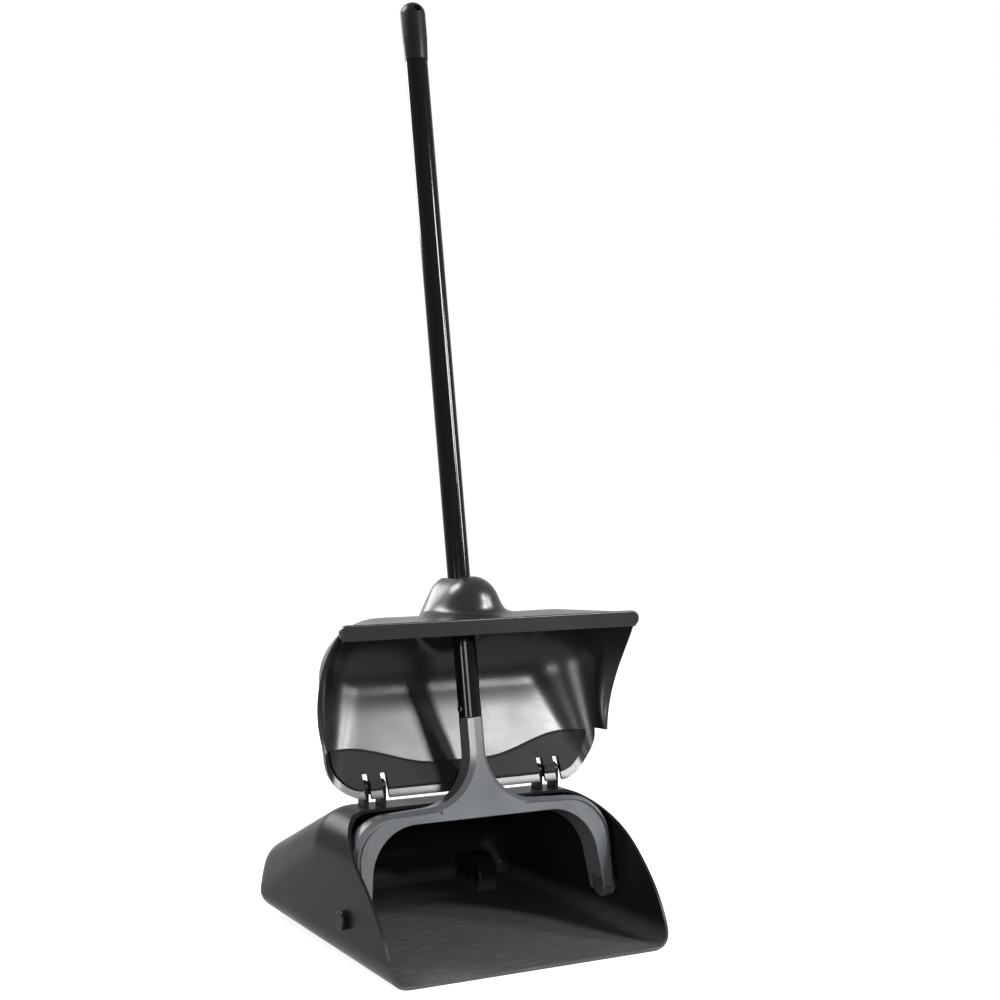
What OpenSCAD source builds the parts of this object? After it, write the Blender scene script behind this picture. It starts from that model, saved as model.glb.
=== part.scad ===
// Upright lobby dustpan with a cover that the handle opens and shuts.
// A hooded pan stands on its lip, two wear pads and two rear wheels. A yoke with a long
// tube handle swings on two pivots inside the side walls, and the handle carries the cover
// because it runs through a slot in the cover's hump.
// Millimetres, +Z up, mouth towards -Y, origin on the floor below the middle of the pan.

/* [Pan] */
// Width of the pan over its side walls
pan_w = 292; // [260:1:320]
// Length of the pan from the lip to the back
pan_len = 324; // [300:1:360]
// Height of the hood above the floor
pan_h = 132; // [126:1:146]
// Thickness of the moulded walls
wall = 3; // [2:0.1:4]
// Radius of the hood's rounded top edges
hood_r = 42; // [36:1:50]
// Height of the hood at the back, where it has fallen
tail_h = 75; // [70:1:90]
// Radius of the hood's rounded edges at the back
tail_r = 30; // [24:1:34]
// Radius of the pan's rounded bottom edges
base_r = 16; // [10:1:22]
// How much narrower the pan is at the floor
base_taper = 2; // [0:1:20]
// How far the floor rises from the lip to the back
floor_rise = 9; // [8:0.5:18]
// Distance from the lip back to the hood's rim
rim_set = 132; // [122:1:142]

/* [Wheels] */
// Radius of the rear wheels
wheel_r = 20; // [16:0.5:24]
// Width of the rear wheels
wheel_w = 14; // [10:0.5:20]
// Distance of each wheel from the middle of the pan
wheel_x = 85; // [60:1:100]
// Distance of the wheel axles from the back of the pan
wheel_set = 54; // [46:1:70]
// Radius of the axle pins
axle_r = 3; // [2:0.1:4]
// Gap between a wheel and its housing
wheel_gap = 2; // [1:0.1:3]

/* [Wear pads] */
// Width of each wear pad
pad_w = 46; // [30:1:60]
// Length of each wear pad from front to back
pad_len = 34; // [20:1:50]
// Distance from the lip back to the pads
pad_set = 46; // [36:1:60]
// Distance of each pad from the middle of the pan
pad_x = 88; // [60:1:100]

/* [Yoke] */
// Distance from the lip back to the yoke's pivots
pivot_set = 96; // [90:1:102]
// Height of the yoke's pivots
pivot_z = 42; // [38:1:46]
// Lean of the handle from upright
lean = 10; // [8:0.5:12]
// Height of the arch above the pivots, along the handle
arch_h = 90; // [86:1:92]
// Depth of the yoke from front to back
yoke_d = 27; // [26:0.5:28]
// Width of each leg at its pivot
leg_w = 10; // [9:0.5:12]
// Thickness of the arch's top
arch_t = 12; // [10:0.5:14]
// Height of the crown where the two arms meet, above the arch
crown_rise = 4; // [3:0.5:5]
// Width of the yoke's stem
stem_w = 16; // [14:0.5:20]
// Top of the stem above the pivots, along the handle
stem_top = 172; // [160:1:180]
// Radius of the pivot pins
pivot_r = 4; // [3:0.1:5]

/* [Handle] */
// Outer radius of the handle tube
tube_r = 11; // [9:0.5:11.5]
// Wall of the handle tube
tube_wall = 1.5; // [1:0.1:2.5]
// Length of the handle from the pivots to its top
handle_len = 884; // [700:1:1000]
// Length of the yoke's spigot inside the tube
spigot_len = 54; // [40:1:80]
// Wall of the grip cap around the tube
cap_wall = 1.6; // [1.2:0.1:3]
// Length of the grip cap's sleeve
cap_len = 46; // [30:1:120]
// Radius of the hole to hang the pan from
hang_r = 3.5; // [2.5:0.1:4]

/* [Cover] */
// Width of the cover over its side walls
cover_w = 304; // [294:1:306]
// Height of the open cover above its hinge
cover_h = 161; // [156:1:170]
// How far the cover's lip stands in front of its hinge
cover_reach = 69; // [62:1:76]
// How far the cover's back bulges behind its hinge
cover_bulge = 38; // [30:1:44]
// Radius of the cover's crown
crown_r = 58; // [50:1:62]
// Width of the cover's tongue at the hinge
tongue_w = 292; // [276:1:294]
// Radius of the foot of the hump that the handle runs through
hump_r = 46; // [44:1:50]
// Radius of the hump's rounded peak
peak_r = 30; // [28:1:34]
// Height of the hump above the cover
hump_rise = 36; // [32:1:40]
// Height of the cover's lip band
lip_h = 15; // [10:0.5:20]
// Height of the hinge axis above the hood
hinge_rise = 18; // [17:0.5:22]
// Distance from the hood's rim back to the hinge axis
hinge_set = 14; // [13:0.5:18]
// Distance of each hinge from the middle of the pan
hinge_x = 94; // [80:1:98]
// Radius of the hinge pins
hinge_r = 2.5; // [2:0.1:3]

/* [Hidden] */
// Clearances: running fits, gaps between moving faces, gap beside the sliding handle
run = 0.05;
gap = 0.5;
slide = 1.5;
eps = 0.01;
$fn = 64;
soft_fn = 32;

// Pan
lip_y = -pan_len/2;
back_y = pan_len/2;
rim_y = lip_y + rim_set;
base_w = pan_w - base_taper;
floor_slope = atan(floor_rise/pan_len);
back_rake = 8;
hood_flat = 30;
tail_in = 4;
over = 30;
mouth_bow = 6;
function floor_z(y) = floor_rise*(y - lip_y)/pan_len;

// Point on the curve that leaves a towards b and ends at c
function curve(a, b, c, t) = (1 - t)*(1 - t)*a + 2*t*(1 - t)*b + t*t*c;

// Wheels
wheel_y = back_y - wheel_set;
house_r = wheel_r + wheel_gap + wall;
house_gap = 1;
house_w = wheel_w + 2*house_gap + 2*wall;

// Yoke and pivots
pivot_y = lip_y + pivot_set;
leg_room = 4;
leg_x = base_w/2 - wall - leg_room;
leg_gap = 0.3;
washer_t = 1;
washer_r = pivot_r + 4;
boss_face = leg_x + washer_t + 2*leg_gap;
boss_r = pivot_r + 6;
bush_wall = 2.5;
bush_r = pivot_r + run + bush_wall;
leg_end_r = bush_r + 4.5;
head_t = 3;
head_r = pivot_r + 3.5;
pivot_cap_r = pivot_r + 5;
pivot_cap_t = 5;
pivot_cap_end = 2;
pin_end = pan_w/2 + pivot_cap_t - pivot_cap_end;
arch_r = 45;
mouth_r = 48;
flare_r = 50;
flare_sink = 2;
groove_gap = 42;
groove_in = 4;
groove_w = 3;
groove_d = 2;

// Handle
spigot_r = tube_r - tube_wall;
cap_r = tube_r + cap_wall;
tube_end = handle_len - cap_r - cap_wall;
rivet_r = 2.4;
rivet_head_r = 4;
rivet_head_t = 1.8;
rivet_rim = 0.5;
rivet_set = 9;
rivet_z = stem_top + rivet_set;
rivet_seat = sqrt(tube_r*tube_r - rivet_head_r*rivet_head_r);

// Cover and hinge, in the open pose
hinge_y = rim_y + hinge_set;
hinge_z = pan_h + hinge_rise;
knuckle_w = 12;
knuckle_r = hinge_r + 4;
ear_t = 5;
ear_r = hinge_r + 5;
ear_reach = knuckle_w/2 + gap + ear_t;
cover_top = hinge_z + cover_h;
cover_back = hinge_y + cover_bulge;
cover_lip_y = hinge_y - cover_reach;
waist_r = 40;
waist_back = 11;
waist_rise = 43;
waist_y = hinge_y + waist_back - waist_r;
waist_z = hinge_z + waist_rise;
foot_r = 16;
foot_set = ear_r + gap;
foot_drop = 1;
foot_y = hinge_y - foot_set - foot_r;
foot_z = hinge_z - foot_drop;
tongue_front = hinge_y - foot_set - wall - eps;
tongue_corner = 44;
tongue_drop = 9;
tongue_z = hinge_z - tongue_drop;
step_set = 21;
step_rise = 39;
step_drop = 14;
step_y = hinge_y - step_set;
step_z = hinge_z + step_rise;
panel_t = 2;
panel_in = 8;
panel_flat = 25;
panel_mid = hinge_z + 19;
panel_side = hinge_z + 37;
hump_fore = 2;
hump_sink = 21;
hump_y = pivot_y + (cover_top - pivot_z)*tan(lean) - hump_fore;
hump_z = cover_top - hump_sink;
peak_z = cover_top + hump_rise - peak_r;
peak_fore = 14;
peak_aft = 12;
channel_r = 20;
channel_rise = 48;
channel_back = 10;
channel_y = hinge_y + channel_back;
channel_z = hinge_z + channel_rise;
slot_w = 2*(rivet_seat + rivet_head_t + slide);
slot_fore = 18;
slot_aft = 50;
slot_front = hump_y - slot_fore;
slot_back = hump_y + slot_aft;
slot_lift = 2;
lip_t = 6;
lip_over = 6;
corner_r = 14;
edge_rows = 12;
edge_set = 27;
edge_back = 1.5;
edge_rise = 87.5;
edge_from = [cover_lip_y + edge_set, cover_top - lip_h];
edge_bow = [hinge_y + edge_back, hinge_z + edge_rise];
edge_end = [step_y, step_z];
flange_t = 4;
flange_root = 2;
flange_out = 11.5;
flange_draw = 9;
flange_round = 5;
flange_lap = 0.04;
flange_from = [cover_lip_y + lip_t/2, cover_top - lip_h + flange_t];
flange_bow = [hinge_y - 9, hinge_z + 85.5];
flange_end = [step_y - 3, step_z];

// Points in Y and Z on the cover's side edge and on its flange's outer edge, from the lip to the step
function edge_at(t) = curve(edge_from, edge_bow, edge_end, t);
function flange_at(t) = curve(flange_from, flange_bow, flange_end, t);
function flange_x(t) = cover_w/2 + flange_out - flange_draw*t*t - flange_round*pow(1 - t, 8);

left = -1;
right = 1;

// Cylinder along X from x0 to x1
module rod(r, x0, x1) {
    translate([min(x0, x1), 0, 0]) rotate([0, 90, 0]) cylinder(r = r, h = abs(x1 - x0));
}

// Extrudes an outline drawn in Y and Z along X, centred
module along_x(length) {
    rotate([90, 0, 90]) linear_extrude(height = length, center = true) children();
}

// Moves children to the yoke's frame: origin on the pivots, Z along the handle
module on_handle() {
    translate([0, pivot_y, pivot_z]) rotate([-lean, 0, 0]) children();
}

// Smooth rounded body of the pan, drawn in by a wall thickness
module pan_body(inset) {
    top_x = pan_w/2 - hood_r;
    tail_x = pan_w/2 - tail_in - tail_r;
    base_x = base_w/2 - base_r;
    base_lift = base_r/cos(floor_slope);
    front = lip_y - over;
    back = back_y - back_rake - base_r;
    hull() for (side = [left, right]) {
        for (y = [front, rim_y + hood_flat])
            translate([side*top_x, y, pan_h - hood_r]) sphere(hood_r - inset, $fn = soft_fn);
        translate([side*tail_x, back_y - tail_r, tail_h - tail_r]) sphere(tail_r - inset, $fn = soft_fn);
        for (y = [front, back])
            translate([side*base_x, y, floor_z(y) + base_lift]) sphere(base_r - inset, $fn = soft_fn);
    }
}

// Everything in front of the bowed mouth, from the lip up to the hood's rim
module mouth_cut() {
    bow = [lip_y + mouth_bow, pan_h/2];
    rows = 12;
    along_x(pan_w + over) polygon(concat(
        [[lip_y - 3*over, pan_h + over], [lip_y - 3*over, -over], [lip_y, -over]],
        [for (i = [0:rows]) curve([lip_y, 0], bow, [rim_y, pan_h - wall], i/rows)],
        [[rim_y, pan_h + over]]
    ));
}

// One pair of ears that the cover's knuckle turns between
module hinge_ears() {
    for (side = [left, right]) {
        x0 = side*(knuckle_w/2 + gap);
        x1 = side*ear_reach;
        translate([0, hinge_y, hinge_z]) rod(ear_r, x0, x1);
        translate([min(x0, x1), hinge_y - ear_r, pan_h - wall + 2*gap])
            cube([ear_t, 2*ear_r, hinge_z - pan_h + wall - 2*gap]);
    }
}

// One-piece moulded pan with its hood, pivot bosses, wheel housings and hinge ears
module pan_shell() {
    color([0.09, 0.09, 0.1]) difference() {
        union() {
            difference() {
                pan_body(0);
                pan_body(wall);
                mouth_cut();
            }
            for (side = [left, right]) {
                translate([side*hinge_x, 0, 0]) hinge_ears();
                translate([0, pivot_y, pivot_z]) rod(boss_r, side*boss_face, side*pan_w/2);
                intersection() {
                    translate([0, wheel_y, wheel_r])
                        rod(house_r, side*wheel_x - house_w/2, side*wheel_x + house_w/2);
                    pan_body(eps);
                }
            }
        }
        for (side = [left, right]) {
            translate([side*hinge_x, hinge_y, hinge_z]) rod(hinge_r, -ear_reach - 1, ear_reach + 1);
            translate([0, pivot_y, pivot_z]) rod(pivot_r, side*(boss_face - 1), side*(pan_w/2 + 1));
            translate([0, wheel_y, wheel_r]) {
                rod(house_r - wall, side*wheel_x - house_w/2 + wall, side*wheel_x + house_w/2 - wall);
                rod(axle_r, side*wheel_x - house_w/2 - 1, side*wheel_x + house_w/2 + 1);
            }
        }
    }
}

// Pad that fills the wedge between the sloping floor and the ground
module wear_pad(side) {
    front = lip_y + pad_set;
    back = front + pad_len;
    color([0.16, 0.16, 0.17]) translate([side*pad_x, 0, 0]) along_x(pad_w) polygon([
        [front, 0], [back, 0], [back, floor_z(back)], [front, floor_z(front)]
    ]);
}

// Rear wheel with a hub recess on each face
module wheel(side) {
    recess_r = wheel_r - 5;
    recess_d = 2;
    hub_r = axle_r + 4;
    color([0.14, 0.14, 0.15]) translate([side*wheel_x, wheel_y, wheel_r]) difference() {
        rod(wheel_r, -wheel_w/2, wheel_w/2);
        rod(axle_r + run, -wheel_w, wheel_w);
        for (face = [left, right]) difference() {
            rod(recess_r, face*(wheel_w/2 - recess_d), face*wheel_w);
            rod(hub_r, face*wheel_w/4, face*wheel_w);
        }
    }
}

// Steel pin held in a wheel housing's two sides
module axle_pin(side) {
    color([0.55, 0.56, 0.58]) translate([side*wheel_x, wheel_y, wheel_r])
        rod(axle_r, -house_w/2, house_w/2);
}

// Steel pivot pin with a flat head inside its leg
module pivot_pin(side) {
    inner = leg_x - leg_w - gap;
    color([0.6, 0.61, 0.63]) translate([0, pivot_y, pivot_z]) {
        rod(pivot_r, side*inner, side*pin_end);
        rod(head_r, side*(inner - head_t), side*inner);
    }
}

// Push-on cap over the outer end of a pivot pin
module pivot_cap(side) {
    color([0.06, 0.06, 0.07]) translate([0, pivot_y, pivot_z]) difference() {
        rod(pivot_cap_r, side*pan_w/2, side*(pan_w/2 + pivot_cap_t));
        rod(pivot_r, side*(pan_w/2 - 1), side*pin_end);
    }
}

// Nylon washer between a leg and its boss
module pivot_washer(side) {
    outer = boss_face - leg_gap;
    color([0.75, 0.75, 0.72]) translate([0, pivot_y, pivot_z]) difference() {
        rod(washer_r, side*(outer - washer_t), side*outer);
        rod(pivot_r + run, side*(outer - 2*washer_t), side*(outer + washer_t));
    }
}

// Steel pin held in one pair of hinge ears
module hinge_pin(side) {
    color([0.6, 0.61, 0.63]) translate([side*hinge_x, hinge_y, hinge_z])
        rod(hinge_r, -ear_reach, ear_reach);
}

// Outline of the arch, drawn in X and Z of the handle's frame
module arch_outline(inset) {
    hull() {
        for (side = [left, right]) {
            translate([side*(leg_x - arch_r), arch_h - arch_r]) circle(arch_r - inset);
            translate([side*(leg_x - leg_w/2), 0]) circle(leg_w/2 - min(inset, leg_w/2 - eps));
        }
        translate([0, arch_h + crown_rise - arch_t/2]) circle(arch_t/2 - inset);
    }
}

// Opening below the arch
module mouth_outline() {
    hull() for (side = [left, right]) {
        translate([side*(leg_x - leg_w - 8 - mouth_r), arch_h - arch_t - mouth_r]) circle(mouth_r);
        translate([side*(leg_x - leg_w - 1), -3*leg_w]) circle(1);
    }
}

// Stem with the flare that blends the two arms into it
module stem_outline() {
    flare_x = stem_w/2 + flare_r;
    flare_z = arch_h + crown_rise - flare_sink;
    foot_z = arch_h - arch_t/2;
    translate([-stem_w/2, foot_z]) square([stem_w, stem_top - foot_z]);
    difference() {
        translate([-flare_x, foot_z]) square([2*flare_x, flare_z + flare_r - foot_z]);
        for (side = [left, right])
            translate([side*flare_x, flare_z + flare_r]) circle(flare_r);
    }
}

// One-piece yoke: two legs, the arch, the stem and the spigot that holds the tube
module yoke() {
    color([0.13, 0.13, 0.14]) on_handle() difference() {
        union() {
            rotate([90, 0, 0]) linear_extrude(height = yoke_d, center = true) {
                difference() {
                    arch_outline(0);
                    mouth_outline();
                }
                stem_outline();
            }
            translate([0, 0, stem_top - eps]) cylinder(r = spigot_r, h = spigot_len + eps);
            for (side = [left, right]) rod(leg_end_r, side*(leg_x - leg_w), side*leg_x);
        }
        rotate([90, 0, 0]) {
            translate([0, 0, -yoke_d]) linear_extrude(height = 2*yoke_d) mouth_outline();
            translate([0, 0, yoke_d/2 - groove_d]) linear_extrude(height = yoke_d) difference() {
                arch_outline(groove_in);
                arch_outline(groove_in + groove_w);
                translate([-groove_gap, 0]) square([2*groove_gap, 2*arch_h]);
            }
        }
        for (side = [left, right]) {
            rod(bush_r, side*(leg_x - leg_w - 1), side*(leg_x + 1));
            rod(leg_end_r + gap, side*(leg_x - leg_w), side*(leg_x - 2*leg_w));
        }
        translate([0, 0, rivet_z]) rod(rivet_r, -tube_r, tube_r);
    }
}

// Plastic bush pressed into a leg
module pivot_bush(side) {
    color([0.75, 0.75, 0.72]) translate([0, pivot_y, pivot_z]) difference() {
        rod(bush_r, side*(leg_x - leg_w), side*leg_x);
        rod(pivot_r + run, side*(leg_x - 2*leg_w), side*(leg_x + leg_w));
    }
}

// Straight handle tube, pushed over the yoke's spigot, with a flat seat for each rivet head
module handle_tube() {
    color([0.05, 0.05, 0.055]) on_handle() difference() {
        translate([0, 0, stem_top]) cylinder(r = tube_r, h = tube_end - stem_top);
        translate([0, 0, stem_top - 1]) cylinder(r = spigot_r, h = handle_len);
        translate([0, 0, rivet_z]) {
            rod(rivet_r, -2*tube_r, 2*tube_r);
            for (side = [left, right]) rod(rivet_head_r, side*rivet_seat, side*2*tube_r);
        }
    }
}

// Domed rivet head on the XY plane
module rivet_head() {
    dome_t = rivet_head_t - rivet_rim;
    rotate_extrude() polygon(concat(
        [[0, 0], [rivet_head_r, 0]],
        [for (angle = [0:15:90]) [rivet_head_r*cos(angle), rivet_rim + dome_t*sin(angle)]]
    ));
}

// Rivet through the tube and the spigot, with a domed head at each end
module handle_rivet() {
    color([0.3, 0.3, 0.31]) on_handle() translate([0, 0, rivet_z]) {
        rod(rivet_r, -rivet_seat - rivet_rim, rivet_seat + rivet_rim);
        for (side = [left, right]) translate([side*rivet_seat, 0, 0]) rotate([0, side*90, 0]) rivet_head();
    }
}

// Domed grip cap over the tube's top, with a hole to hang the pan from
module grip_cap() {
    sleeve_z = tube_end - cap_len;
    color([0.04, 0.04, 0.045]) on_handle() difference() {
        union() {
            translate([0, 0, sleeve_z]) cylinder(r1 = tube_r + cap_wall/4, r2 = cap_r, h = cap_len/2);
            translate([0, 0, sleeve_z + cap_len/2]) cylinder(r = cap_r, h = cap_len/2 + cap_wall);
            translate([0, 0, tube_end + cap_wall]) sphere(cap_r);
        }
        translate([0, 0, sleeve_z - 1]) cylinder(r = tube_r, h = cap_len + 1);
        translate([0, 0, tube_end + cap_wall + hang_r]) rotate([90, 0, 0])
            cylinder(r = hang_r, h = 4*cap_r, center = true);
    }
}

// Smooth rounded body of the cover, drawn in by a wall thickness
module cover_body(inset) {
    crown_x = cover_w/2 - crown_r;
    waist_x = cover_w/2 - waist_r;
    foot_x = cover_w/2 - foot_r;
    corner_x = cover_w/2 + lip_over - corner_r;
    front = cover_lip_y - over/3;
    hull() for (side = [left, right]) {
        translate([side*crown_x, cover_back - crown_r, cover_top - crown_r])
            sphere(crown_r - inset, $fn = soft_fn);
        translate([side*corner_x, front, cover_top - corner_r]) sphere(corner_r - inset, $fn = soft_fn);
        for (y = [front, waist_y])
            translate([side*waist_x, y, waist_z]) sphere(waist_r - inset, $fn = soft_fn);
        for (y = [front, foot_y])
            translate([side*foot_x, y, foot_z]) sphere(foot_r - inset, $fn = soft_fn);
    }
}

// Hump round the handle, running down the back as a channel
module hump_body(inset) {
    hull() {
        for (y = [hump_y - peak_fore, hump_y + peak_aft])
            translate([0, y, peak_z]) sphere(peak_r - inset, $fn = soft_fn);
        translate([0, hump_y, hump_z]) sphere(hump_r - inset, $fn = soft_fn);
        translate([0, channel_y - channel_r, channel_z]) sphere(channel_r - inset, $fn = soft_fn);
    }
}

// What is left of the cover's body behind its open front and between its sides
module cover_keep() {
    intersection() {
        along_x(cover_w + over) polygon(concat(
            [[cover_lip_y, cover_top + 2*over], [cover_lip_y, cover_top - lip_h]],
            [for (i = [0:edge_rows]) edge_at(i/edge_rows)],
            [[tongue_front, step_z - step_drop], [tongue_front, hinge_z - over]],
            [[cover_back + 2*over, hinge_z - over], [cover_back + 2*over, cover_top + 2*over]]
        ));
        translate([0, back_y, 0]) rotate([90, 0, 0]) linear_extrude(height = 2*back_y) union() {
            translate([-cover_w, step_z]) square([2*cover_w, cover_h]);
            translate([-tongue_w/2, tongue_z + tongue_corner]) square([tongue_w, cover_h]);
            for (side = [left, right])
                translate([side*(tongue_w/2 - tongue_corner), tongue_z + tongue_corner])
                    circle(tongue_corner);
            translate([-tongue_w/2 + tongue_corner, tongue_z])
                square([tongue_w - 2*tongue_corner, 2*tongue_corner]);
        }
    }
}

// Height of the raised panel's top edge: low in the middle, high at the sides
function panel_z(x) = let(t = min(1, max(0, (abs(x) - panel_flat)/(tongue_w/2 - 2*panel_flat))))
    panel_mid + (panel_side - panel_mid)*(1 - cos(180*t))/2;

// Area below the raised panel's wavy top edge
module panel_area() {
    reach = tongue_w/2 - panel_in;
    rows = 24;
    translate([0, back_y, 0]) rotate([90, 0, 0]) linear_extrude(height = 2*back_y) polygon(concat(
        [[reach, hinge_z - over], [-reach, hinge_z - over]],
        [for (i = [0:rows]) let(x = -reach + 2*reach*i/rows) [x, panel_z(x)]]
    ));
}

// Knuckle that turns on a hinge pin, with its web up to the tongue
module knuckle() {
    web_y = tongue_front + wall/3;
    web_drop = 2;
    translate([0, hinge_y, hinge_z]) rod(knuckle_r, -knuckle_w/2, knuckle_w/2);
    translate([-knuckle_w/2, web_y, hinge_z - web_drop])
        cube([knuckle_w, hinge_y - web_y, knuckle_r + web_drop]);
}

// Flange that flares outwards and forwards along the right side of the cover's open front
module side_flange() {
    root_x = cover_w/2 - flange_root;
    last = 4*edge_rows;
    points = [
        for (i = [0:edge_rows]) let(
            t = -flange_lap + (1 + flange_lap)*i/edge_rows,
            root = edge_at(t),
            rim = flange_at(t)
        ) each [
            [root_x, root.x, root.y], [flange_x(t), rim.x, rim.y],
            [flange_x(t), rim.x + flange_t, rim.y], [root_x, root.x + flange_t, root.y]
        ]
    ];
    sides = [
        for (i = [0:edge_rows - 1], k = [0:3]) let(
            a = 4*i + k,
            b = 4*i + (k + 1)%4
        ) each [[a, b, b + 4], [a, b + 4, a + 4]]
    ];
    ends = [[0, 3, 2], [0, 2, 1], [last, last + 1, last + 2], [last, last + 2, last + 3]];
    polyhedron(points, concat(sides, ends));
}

// Hollow of the cover, drawn in where the raised panel stands
module cover_hollow() {
    difference() {
        cover_body(wall);
        panel_area();
    }
    cover_body(wall + panel_t);
    hump_body(wall);
}

// One-piece moulded cover with its hump, lip band, flanges, raised panel and hinge knuckles
module cover_shell() {
    notch_w = ear_t + 3*gap;
    notch_rise = 6;
    notch_top = ear_r + notch_rise;
    color([0.12, 0.12, 0.13]) difference() {
        union() {
            difference() {
                intersection() {
                    union() {
                        cover_body(0);
                        hump_body(0);
                    }
                    cover_keep();
                }
                cover_hollow();
            }
            translate([0, cover_lip_y, cover_top - lip_h]) {
                translate([-cover_w/2 - lip_over + lip_h/2, -lip_t/2, 0])
                    cube([cover_w + 2*lip_over - lip_h, lip_t, lip_h]);
                for (side = [left, right])
                    translate([side*(cover_w/2 + lip_over - lip_h/2), 0, lip_h/2]) rotate([90, 0, 0])
                        cylinder(r = lip_h/2, h = lip_t, center = true);
            }
            side_flange();
            mirror([1, 0, 0]) side_flange();
            for (side = [left, right]) translate([side*hinge_x, 0, 0]) knuckle();
        }
        translate([0, 0, cover_top + slot_lift]) {
            translate([-slot_w/2, slot_front + slot_w/2, 0])
                cube([slot_w, slot_back - slot_front - slot_w, hump_r]);
            for (y = [slot_front + slot_w/2, slot_back - slot_w/2])
                translate([0, y, 0]) cylinder(r = slot_w/2, h = hump_r);
        }
        for (side = [left, right]) translate([side*hinge_x, hinge_y, hinge_z]) {
            rod(hinge_r + run, -knuckle_w, knuckle_w);
            for (ear = [left, right]) translate([ear*(knuckle_w + notch_w)/2, 0, notch_top/2 - ear_r])
                cube([notch_w, 4*ear_r, notch_top + 2*ear_r], center = true);
        }
    }
}

pan_shell();
wear_pad(left);  // wear_pad_left
wear_pad(right);  // wear_pad_right
wheel(left);  // wheel_left
wheel(right);  // wheel_right
axle_pin(left);  // axle_pin_left
axle_pin(right);  // axle_pin_right
pivot_pin(left);  // pivot_pin_left
pivot_pin(right);  // pivot_pin_right
pivot_cap(left);  // pivot_cap_left
pivot_cap(right);  // pivot_cap_right
pivot_washer(left);  // pivot_washer_left
pivot_washer(right);  // pivot_washer_right
hinge_pin(left);  // hinge_pin_left
hinge_pin(right);  // hinge_pin_right
yoke();
pivot_bush(left);  // pivot_bush_left
pivot_bush(right);  // pivot_bush_right
handle_tube();
handle_rivet();
grip_cap();
cover_shell();
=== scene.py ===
"""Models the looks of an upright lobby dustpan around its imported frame.

Each operator models one piece or a group of like pieces, in metres, in the frame's own axes:
+Z up, the mouth towards -Y, the origin on the floor below the middle of the pan.
"""

import math

import bpy
from bpy.props import FloatProperty, FloatVectorProperty, PointerProperty
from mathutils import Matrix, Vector


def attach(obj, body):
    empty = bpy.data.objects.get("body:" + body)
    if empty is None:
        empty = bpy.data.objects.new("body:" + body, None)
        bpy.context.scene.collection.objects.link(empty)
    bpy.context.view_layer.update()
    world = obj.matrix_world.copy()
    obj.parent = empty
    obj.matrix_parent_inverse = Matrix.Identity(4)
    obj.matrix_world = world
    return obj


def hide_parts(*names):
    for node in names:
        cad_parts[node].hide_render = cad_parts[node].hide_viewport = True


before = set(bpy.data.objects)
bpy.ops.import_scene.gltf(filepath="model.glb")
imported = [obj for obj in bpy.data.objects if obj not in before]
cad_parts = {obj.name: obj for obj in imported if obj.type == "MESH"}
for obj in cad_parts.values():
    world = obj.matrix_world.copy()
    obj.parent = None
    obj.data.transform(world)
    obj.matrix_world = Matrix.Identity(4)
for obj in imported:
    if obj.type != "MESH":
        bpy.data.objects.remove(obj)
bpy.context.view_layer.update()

bl_info = {
    "name": "Lobby dustpan",
    "version": (1, 0, 0),
    "blender": (4, 5, 0),
    "location": "View3D > Sidebar > Dustpan",
    "description": "Models a hooded lobby dustpan with a swinging handle and a hinged cover",
    "category": "Object",
}

MM = 0.001
SIDES = (("left", -1), ("right", 1))
TURN = 2 * math.pi
QUARTER = math.pi / 2
# Points along each bowed edge and round each corner
ROWS = 40
CORNER_STEPS = 20
# Deeper than anything that a prism cuts
DEEP = 900 * MM

# The camera was fitted to the photograph, which is square, so its width gives the lens
CAMERA_PLACE = (-0.828, -1.583, 0.475)
CAMERA_TURN = (math.radians(88.17), 0, math.radians(-29.08))
CAMERA_LENS = 66.5
SENSOR_WIDTH = 36.0
# Name, place, target, width and height in metres and power in watts
SOFTBOXES = (
    ("key_softbox", (1.2, -1.66, 1.36), (0.0, 0.0, 0.25), 0.35, 0.6, 120),
    ("side_softbox", (1.62, -1.22, 1.02), (0.0, 0.0, 0.25), 0.3, 0.5, 60),
    ("left_softbox", (-1.75, -0.8, 0.3), (0.0, -0.05, 0.2), 0.4, 0.6, 30),
    ("top_softbox", (-0.9, 0.95, 1.85), (0.0, 0.0, 0.3), 0.8, 0.8, 110),
    ("rim_softbox", (-0.5, 2.0, 1.1), (0.0, 0.0, 0.1), 0.8, 0.5, 20),
    ("front_softbox", (-0.9, -2.2, 0.6), (0.0, 0.0, 0.1), 0.8, 0.5, 40),
)
# Levels of the light from the surroundings, and the floor's paint and glow near the object
FILL_LEVEL = 0.25
FLOOR_PAINT = 0.2
FLOOR_GLOW = 0.87

# Colour, roughness, specular level, grain and the height that the pale scuffs reach, of each moulded
# plastic; on the pan these pale scuffs are also painted light on its shaded floor
PLASTICS = {
    "moulded_black_polypropylene": ("pan", 0.3, 0.04, 1.2 * MM, 24 * MM),
    "moulded_black_polypropylene_gloss": ("cover", 0.29, 0.17, 1.2 * MM, 0.0),
    "moulded_black_polypropylene_matt": ("cover", 0.55, 0.05, 1.2 * MM, 0.0),
    "moulded_graphite_nylon": ("yoke", 0.3, 0.45, 1.5 * MM, 0.0),
    "moulded_satin_black_cap": ("cap", 0.36, 0.06, 1.0 * MM, 0.0),
    "moulded_dull_grey_tyre": ("tyre", 0.6, 0.35, 1.5 * MM, 6 * MM),
    "turned_natural_nylon": ("nylon", 0.45, 0.4, 1.0 * MM, 0.0),
}


def linear(hex_colour):
    """Turns an sRGB hex colour into linear red, green and blue."""
    channels = [int(hex_colour[i : i + 2], 16) / 255 for i in (1, 3, 5)]
    return [c / 12.92 if c <= 0.04045 else ((c + 0.055) / 1.055) ** 2.4 for c in channels]


def curve(start, bow, end, t):
    """Point on the curve that leaves start towards bow and arrives at end."""
    return (1 - t) ** 2 * Vector(start) + 2 * t * (1 - t) * Vector(bow) + t**2 * Vector(end)


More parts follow.
